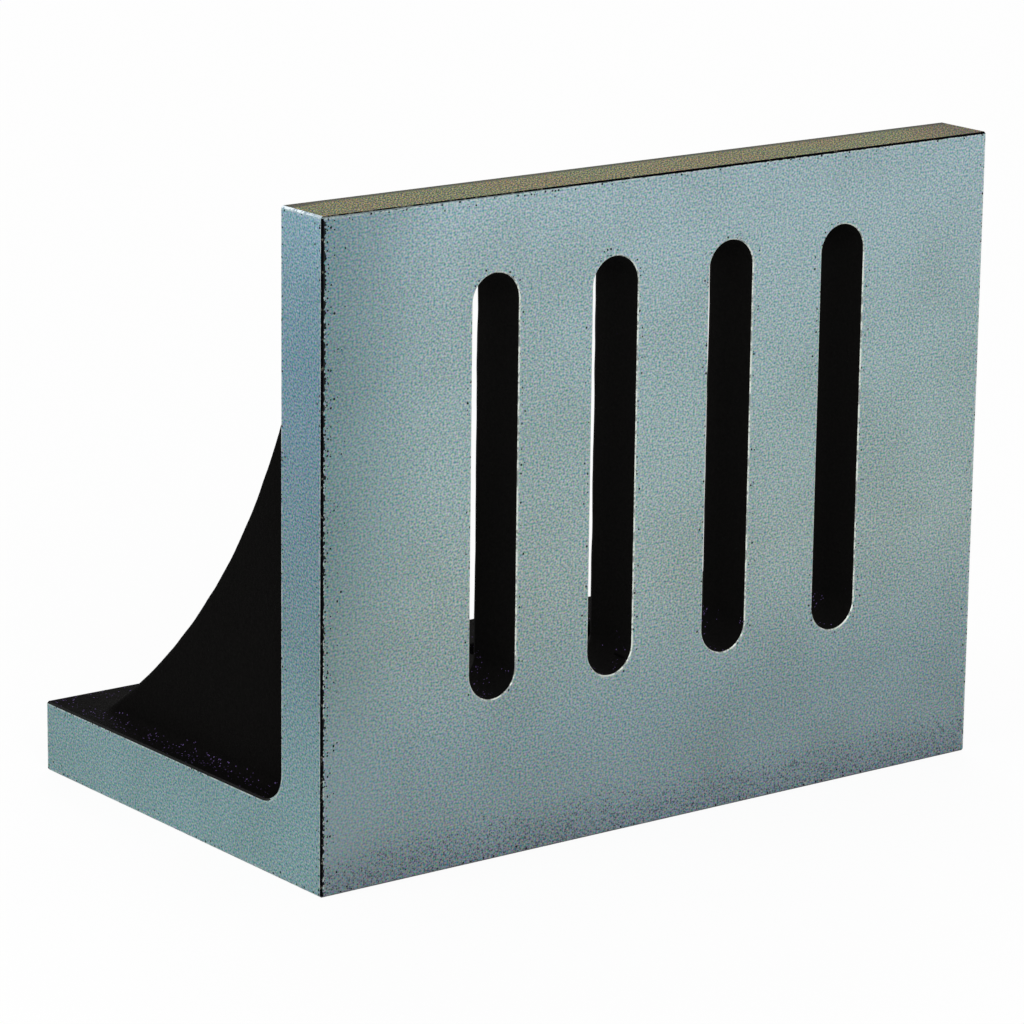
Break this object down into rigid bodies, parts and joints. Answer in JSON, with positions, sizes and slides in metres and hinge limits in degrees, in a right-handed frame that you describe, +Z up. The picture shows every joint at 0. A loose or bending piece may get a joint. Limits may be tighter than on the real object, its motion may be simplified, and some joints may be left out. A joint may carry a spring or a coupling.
{
  "type": "angle plate",
  "caption": "Right-angle cast iron plate with long clamping slots through the upright and the foot and a hollow-edged web near each end, for holding work square on a machine table.",
  "frame": {"origin": "on the underside, in the middle of the length and the depth", "axes": "+X along the length, +Y from the ground face to the back, +Z up the upright"},
  "size_m": [0.254, 0.1524, 0.2032],
  "materials": {
    "cast_iron": "satin"
  },
  "bodies": {
    "root": {"angle_plate": "cast_iron"}
  },
  "joints": []
}
